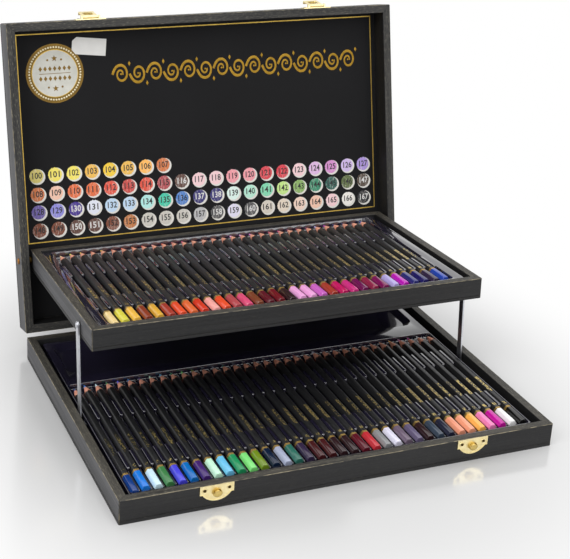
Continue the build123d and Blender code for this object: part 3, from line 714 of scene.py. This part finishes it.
chart = {
    "dotPitch": 0.01794, "firstDot": -0.1698, "rows": (0.1435, 0.126, 0.109, 0.0915), "dotRadius": 0.0074,
    "swatchRadius": 0.0067, "swatchShift": (-0.0011, 0.0009), "digits": (0.0092, 0.0061), "bold": 0.00014,
    "firstNumber": 100, "paperLift": 0.00005, "swatchLift": 0.00009, "digitLift": 0.00013,
    "ragged": 0.0005, "textSize": 0.008, "paleBelow": 0.07,
}


def makeInk(name, code, roughness):
    # flat printing ink on board, with a little mottle
    material, tree, shader, here = startMaterial(name, Roughness=roughness)
    mottle = addNode(tree, "TexNoise", {"Vector": here, "Scale": 600.0, "Detail": 2.0})
    darker = tuple(c * 0.86 for c in hexToLinear(code)[:3]) + (1,)
    colour = addNode(tree, "Mix", {0: mottle, 6: darker, 7: code}, 2, data_type="RGBA")
    bump = addNode(tree, "Bump", {"Height": mottle, "Distance": 0.00002, "Strength": 0.3})
    feed(tree, shader, Base_Color=colour, Normal=bump)
    return material


def makeScribble():
    # coloured pencil rubbed over white paper: streaks at a slant, with the paper's tooth showing through
    material, tree, shader, here = startMaterial("pencilScribble", Roughness=0.6)
    own = addNode(tree, "Attribute", output="Color", attribute_name="pencilColour")
    slant = addNode(tree, "Mapping", {"Vector": here, "Rotation": (0, math.radians(40), 0), "Scale": (1500, 1, 220)})
    strokes = addNode(tree, "TexNoise", {"Vector": slant, "Scale": 1.0, "Detail": 3.0})
    tooth = addNode(tree, "TexNoise", {"Vector": here, "Scale": 1300.0, "Detail": 2.0})
    rubbed = addNode(tree, "Mix", {0: 0.3, 2: strokes, 3: tooth})
    bare = addNode(tree, "MapRange", {0: rubbed, 1: 0.47, 2: 0.36, 3: 0.0, 4: 0.5})
    colour = addNode(tree, "Mix", {0: bare, 6: own, 7: "EDE9E0"}, 2, data_type="RGBA")
    bump = addNode(tree, "Bump", {"Height": strokes, "Distance": 0.00003, "Strength": 0.4})
    feed(tree, shader, Base_Color=colour, Normal=bump)
    return material


def modelSwatch(seed):
    # a round scribble with a ragged edge
    swatch = addDisc(44, chart["swatchRadius"])
    editing(lambda vert: True, "VERT")
    bpy.ops.transform.vertex_random(offset=chart["ragged"], seed=seed)
    bpy.ops.transform.resize(value=(1, 1, 0), center_override=(0, 0, 0))
    doneEditing()
    return swatch


def digitsOf(text):
    bpy.ops.object.text_add()
    words = bpy.context.object
    words.data.body = text
    words.data.size = chart["textSize"]
    words.data.offset = chart["bold"]
    words.data.align_x = "CENTER"
    words.data.align_y = "CENTER"
    words.data.resolution_u = 2
    bpy.ops.object.convert(target="MESH")
    digits = bpy.context.object
    digits.scale = (chart["digits"][0] / digits.dimensions.x, chart["digits"][1] / digits.dimensions.y, 1)
    applyPlace(digits)
    return digits


def makeChart():
    paper = makeInk("whitePaperDisc", "E4E2DC", 0.6)
    darkInk = makeInk("blackDigitInk", "1A1A1A", 0.5)
    paleInk = makeInk("whiteDigitInk", "E4E4E2", 0.5)
    scribble = makeScribble()
    swatchForms = [modelSwatch(seed) for seed in (1, 2, 3, 4)]
    chance = random.Random(12)
    discs, swatches, dark, pale = [], [], [], []
    discForm = addDisc(36, chart["dotRadius"])
    shiftX, shiftUp = chart["swatchShift"]
    number = chart["firstNumber"]
    for row, height in zip(chartColours, chart["rows"]):
        for column, colourName in enumerate(row):
            x = chart["firstDot"] + column * chart["dotPitch"]
            discs.append(copyOf(discForm, (x, height, chart["paperLift"])))
            swatch = copyOf(chance.choice(swatchForms), (x + shiftX, height + shiftUp, chart["swatchLift"]))
            swatch.rotation_euler = (0, 0, chance.uniform(0, 6.28))
            colour = swatch.data.color_attributes.new("pencilColour", "FLOAT_COLOR", "POINT")
            code = hexToLinear(colours[colourName])
            colour.data.foreach_set("color", code * len(swatch.data.vertices))
            swatches.append(swatch)
            digits = digitsOf(str(number))
            number += 1
            digits.location = (x + shiftX, height + shiftUp, chart["digitLift"])
            lightness = 0.3 * code[0] + 0.6 * code[1] + 0.1 * code[2]
            (pale if lightness < chart["paleBelow"] else dark).append(digits)
    for form in (*swatchForms, discForm):
        bpy.data.objects.remove(form)
    for name, parts, material in (("chartDiscs", discs, paper), ("chartSwatches", swatches, scribble),
                                  ("chartDarkDigits", dark, darkInk), ("chartPaleDigits", pale, paleInk)):
        ontoCard(joined(parts), name, [material])


makeChart()
print("chart printed")


# gold border, and a running scroll in the heading's place

border = {"half": 0.1827, "low": 0.0805, "high": 0.277, "width": 0.001}
scroll = {
    "from": -0.083, "count": 15, "pitch": 0.0171, "height": 0.2345, "turns": 1.55, "outer": 0.0086, "inner": 0.0018,
    "stroke": 0.0009, "tall": 1.25, "flat": 0.12, "lozenge": (0.0013, 0.0024), "lozengeAt": (0.0086, 0.0098),
    "lozengeThick": 0.0001, "dot": 0.0010,
}


def makeBorder():
    bpy.ops.mesh.primitive_plane_add(size=1, location=(0, (border["low"] + border["high"]) / 2, 0.00005))
    frameLine = bpy.context.object
    frameLine.scale = (2 * border["half"], border["high"] - border["low"], 1)
    applyPlace(frameLine)
    editing(lambda face: True)
    bpy.ops.mesh.inset(thickness=border["width"])
    bpy.ops.mesh.delete(type="FACE")
    doneEditing()
    addModifier(frameLine, "SOLIDIFY", thickness=0.00006, offset=1)
    return ontoCard(frameLine, "goldBorder", [goldFoil])


def modelSpiral():
    # one curl, drawn as a tapering stroke and pressed flat
    bpy.ops.curve.primitive_nurbs_path_add()
    curl = bpy.context.object
    line = curl.data.splines[0]
    steps = 15
    line.points.add(steps - len(line.points))
    for i, point in enumerate(line.points):
        share = i / (steps - 1)
        turn = math.pi * (1 - 2 * scroll["turns"] * share)
        reach = scroll["outer"] * (1 - share) + scroll["inner"] * share
        point.co = (reach * math.cos(turn), reach * math.sin(turn), 0, 1)
        point.radius = 1.25 - 0.55 * share
    line.order_u = 4
    line.use_endpoint_u = True
    line.resolution_u = 3
    curl.data.bevel_depth = scroll["stroke"]
    curl.data.bevel_resolution = 0
    curl.data.use_fill_caps = True
    bpy.ops.object.convert(target="MESH")
    curl = bpy.context.object
    curl.scale = (1, scroll["tall"], scroll["flat"])
    applyPlace(curl)
    # a lozenge where two curls meet, and a dot at the curl's eye
    lozenge = addBall(4, 4, 1, (*scroll["lozenge"], scroll["lozengeThick"]), (*scroll["lozengeAt"], 0))
    dot = addBall(10, 6, scroll["dot"], (1, 1, scroll["flat"]))
    return joined([curl, lozenge, dot])


def makeScroll():
    curl = modelSpiral()
    curls = []
    for i in range(scroll["count"]):
        twin = copyOf(curl, (scroll["from"] + i * scroll["pitch"], scroll["height"], 0.00008))
        if i % 2:
            twin.scale = (1, -1, 1)
            applyPlace(twin)
            editing(lambda face: True)
            bpy.ops.mesh.normals_make_consistent(inside=False)
            doneEditing()
        curls.append(twin)
    bpy.data.objects.remove(curl)
    row = joined(curls)
    smooth(row, 40)
    return ontoCard(row, "goldScroll", [scrollFoil])


makeBorder()
makeScroll()
print("foil stamped")


# round seal and blank label stuck on the card

seal = {
    "at": (-0.1472, 0.2393), "radius": 0.0277, "thick": 0.0003, "beads": 60, "beadRing": 0.02455,
    "bead": 0.00095, "star": 0.0031, "starAt": 0.0140, "dot": 0.001, "dotAt": (0.0066, 0.0127), "rule": (0.030, 0.0005),
    "lozenge": (0.0017, 0.0024), "lozengeAt": 0.0046, "lozengePitch": 0.0046, "relief": 0.00008,
    "lip": 0.0006, "band": 0.0048, "fieldLip": 0.0003, "fieldDrop": 0.00006, "goldRing": (0.0053, 0.0059),
}
label = {
    "low": (-0.1296, 0.2545), "high": (-0.0965, 0.2705), "chamfer": 0.0038, "thick": 0.00025, "turn": -6.5,
    "lip": 0.0007, "relief": 0.00003, "lift": 0.0004,
}


def makeFoilPaper(name, pale, dark, metallic, roughness):
    # metallised paper: satin, with the slight cockle of glued foil
    material, tree, shader, here = startMaterial(name, Metallic=metallic)
    cockle = addNode(tree, "TexNoise", {"Vector": here, "Scale": 110.0, "Detail": 3.0})
    grit = addNode(tree, "TexNoise", {"Vector": here, "Scale": 1600.0, "Detail": 2.0})
    colour = addNode(tree, "Mix", {0: cockle, 6: dark, 7: pale}, 2, data_type="RGBA")
    rough = addNode(tree, "MapRange", {0: grit, 3: roughness, 4: roughness + 0.18})
    bump = addNode(tree, "Bump", {"Height": cockle, "Distance": 0.0004, "Strength": 0.3})
    feed(tree, shader, Base_Color=colour, Roughness=rough, Normal=bump)
    return material


def raised(part, thick):
    # gives a flat outline a little thickness
    only(part)
    editing(lambda face: True)
    bpy.ops.mesh.extrude_region_move(TRANSFORM_OT_translate={"value": (0, 0, thick)})
    editing(lambda face: True)
    bpy.ops.mesh.normals_make_consistent(inside=False)
    doneEditing()
    return part


def makeSeal():
    x, up = seal["at"]
    middle = Matrix.Translation((x, up, 0))
    satin = makeFoilPaper("satinSilverFoil", "C8C7BF", "A8A79E", 0.3, 0.4)
    darkGold = makeFoilPaper("darkGoldFoil", "7E6224", "4E3A10", 0.7, 0.35)
    creamInk = makeInk("creamEnamelInk", "EFE6C4", 0.5)
    bpy.ops.mesh.primitive_cylinder_add(vertices=96, radius=seal["radius"], depth=seal["thick"],
                                        location=(0, 0, seal["thick"] / 2))
    disc = bpy.context.object
    applyPlace(disc)
    disc.data.materials.append(darkGold)
    disc.data.materials.append(satin)
    disc.data.materials.append(goldFoil)
    editing(lambda face: face.normal.z > 0.9)
    for inward in (seal["lip"], seal["band"], seal["lip"]):
        bpy.ops.mesh.inset(thickness=inward)
    bpy.ops.transform.translate(value=(0, 0, seal["relief"]))
    bpy.ops.mesh.inset(thickness=seal["fieldLip"])
    bpy.ops.transform.translate(value=(0, 0, -seal["fieldDrop"]))
    doneEditing()
    near, far = seal["goldRing"]
    for face in disc.data.polygons:
        inward = seal["radius"] - max(math.hypot(*disc.data.vertices[v].co.xy) for v in face.vertices)
        face.material_index = 2 if near < inward < far else 1 if inward > far else 0
    smooth(disc, 30)
    ontoCard(disc, "sealDisc", (), middle)
    beadForm = addBall(8, 6, seal["bead"], (1, 1, 0.4))
    beads = []
    for i in range(seal["beads"]):
        turn = 2 * math.pi * i / seal["beads"]
        across, high = seal["beadRing"] * math.cos(turn), seal["beadRing"] * math.sin(turn)
        beads.append(copyOf(beadForm, (across, high, seal["thick"])))
    bpy.data.objects.remove(beadForm)
    beads = joined(beads)
    smooth(beads, 60)
    ontoCard(beads, "sealBeads", [creamInk], middle)
    # plain ornament: a star and dots above and below, rows of lozenges and a rule between
    parts = []
    for side in (-1, 1):
        star = addDisc(10, seal["star"])
        editing(lambda vert: round(math.degrees(math.atan2(vert.co.x, vert.co.y)) / 36) % 2 == 1, "VERT")
        bpy.ops.transform.resize(value=(0.42, 0.42, 1), center_override=(0, 0, 0))
        doneEditing()
        applyPlace(star, Matrix.Translation((0, side * seal["starAt"], 0)))
        parts.append(star)
        for across in (-1, 1):
            parts.append(addDisc(16, seal["dot"], (across * seal["dotAt"][0], side * seal["dotAt"][1], 0)))
        for i in range(7):
            lozenge = addDisc(4, 1, ((i - 3) * seal["lozengePitch"], side * seal["lozengeAt"], 0))
            lozenge.scale = (*seal["lozenge"], 1)
            parts.append(lozenge)
    for part in parts:
        applyPlace(part)
        raised(part, seal["relief"])
    halfRule, halfThick = seal["rule"][0] / 2, seal["rule"][1] / 2
    parts.append(addCube((-halfRule, -halfThick, 0), (halfRule, halfThick, seal["relief"])))
    ontoCard(joined(parts), "sealOrnament", [darkGold], Matrix.Translation((x, up, seal["thick"] + 0.00003)))


def makeLabel():
    # coated paper label, left blank
    width, height = label["high"][0] - label["low"][0], label["high"][1] - label["low"][1]
    paper = addCube((-width / 2, -height / 2, 0), (width / 2, height / 2, label["thick"]))
    roundEdges(lambda edge: isUpright(edge, 0.0001) and edge.verts[0].co.x < 0, label["chamfer"], 1)
    editing(lambda face: face.normal.z > 0.9)
    bpy.ops.mesh.inset(thickness=label["lip"])
    bpy.ops.transform.translate(value=(0, 0, label["relief"]))
    doneEditing()
    middle = Matrix.Translation((label["low"][0] + width / 2, label["low"][1] + height / 2, label["lift"]))
    turn = Matrix.Rotation(math.radians(label["turn"]), 4, "Z")
    coated = makeFoilPaper("coatedPaperLabel", "DEDDDA", "CFCECA", 0.0, 0.4)
    ontoCard(paper, "blankLabel", [coated], middle @ turn)


makeSeal()
makeLabel()
print("seal and label stuck on")


# floor, light and camera

ground = {
    "size": 12, "colour": "C8C8C8", "roughness": 0.14, "ior": 2.25,
    "shift": (0, -0.03, 0), "squeeze": (1.32, 1.15, 1), "fade": (0.24, 0.5), "worldLight": 0.5,
}


def raysThatSeeWhite(tree):
    # the camera's, mirrors' and glass's rays meet the white background; light doesn't
    camera, glossy, through = [addNode(tree, "LightPath", output=ray)
                               for ray in ("Is Camera Ray", "Is Glossy Ray", "Is Transmission Ray")]
    seen = addNode(tree, "Math", {0: camera, 1: glossy}, operation="MAXIMUM")
    return addNode(tree, "Math", {0: seen, 1: through}, operation="MAXIMUM")


def makeStage():
    # white acrylic floor: keeps the case's shadow and a faint mirror image, and fades to pure white further off
    bpy.ops.mesh.primitive_plane_add(size=ground["size"], location=(0, 0, 0))
    floor = bpy.context.object
    floor.name = "floor"
    material, tree, shader, here = startMaterial(
        "whiteAcrylicFloor", Base_Color=hexToLinear(ground["colour"]), Roughness=ground["roughness"], IOR=ground["ior"])
    middle = addNode(tree, "Mapping", {"Vector": here, "Location": ground["shift"], "Scale": ground["squeeze"]})
    reach = addNode(tree, "VectorMath", {0: middle}, "Value", operation="LENGTH")
    near, away = ground["fade"]
    far = addNode(tree, "MapRange", {0: reach, 1: near, 2: away}, interpolation_type="SMOOTHSTEP")
    share = addNode(tree, "Math", {0: raysThatSeeWhite(tree), 1: far}, operation="MULTIPLY")
    white = addNode(tree, "Emission", {"Color": (1, 1, 1, 1), "Strength": 1.0})
    mixed = addNode(tree, "MixShader", {0: share, 1: shader.outputs[0], 2: white})
    tree.links.new(mixed, tree.nodes["Material Output"].inputs["Surface"])
    floor.data.materials.append(material)
    world = bpy.data.worlds.new("studio")
    scene.world = world
    world.use_nodes = True
    tree = world.node_tree
    strength = addNode(tree, "MapRange", {0: raysThatSeeWhite(tree), 3: ground["worldLight"], 4: 1.0})
    background = tree.nodes["Background"]
    tree.links.new(strength, background.inputs["Strength"])
    background.inputs["Color"].default_value = (1, 1, 1, 1)


lamps = {
    "keyLeft": {"at": (-1.5, -0.7, 1.5), "size": 1.2, "power": 26, "aim": (0, 0, 0.1)},
    "fillFront": {"at": (0.7, -1.9, 1.1), "size": 1.6, "power": 16, "aim": (0, 0, 0.1)},
    "top": {"at": (0.1, 0.3, 2.0), "size": 1.8, "power": 18, "aim": (0, 0, 0)},
}


def makeLamps():
    for name, lamp in lamps.items():
        data = bpy.data.lights.new(name, "AREA")
        data.energy = lamp["power"]
        data.size = lamp["size"]
        light = bpy.data.objects.new(name, data)
        scene.collection.objects.link(light)
        light.location = lamp["at"]
        light.rotation_euler = (Vector(lamp["aim"]) - Vector(lamp["at"])).to_track_quat("-Z", "Y").to_euler()


view = {"at": (-0.47883, -1.02527, 0.62843), "yaw": -22.867, "pitch": -21.321, "roll": 2.792,
        "lens": 89.743, "shift": (45 / 570, -75 / 570)}


def makeCamera():
    data = bpy.data.cameras.new("camera")
    data.lens = view["lens"]
    data.sensor_width = 36
    data.shift_x, data.shift_y = view["shift"]
    camera = bpy.data.objects.new("camera", data)
    scene.collection.objects.link(camera)
    turn = Matrix.Rotation(math.radians(view["yaw"]), 4, "Z")
    turn = turn @ Matrix.Rotation(math.radians(90 + view["pitch"]), 4, "X")
    turn = turn @ Matrix.Rotation(math.radians(view["roll"]), 4, "Z")
    camera.matrix_world = Matrix.Translation(view["at"]) @ turn
    scene.camera = camera


makeStage()
makeLamps()
makeCamera()
print("studio set")
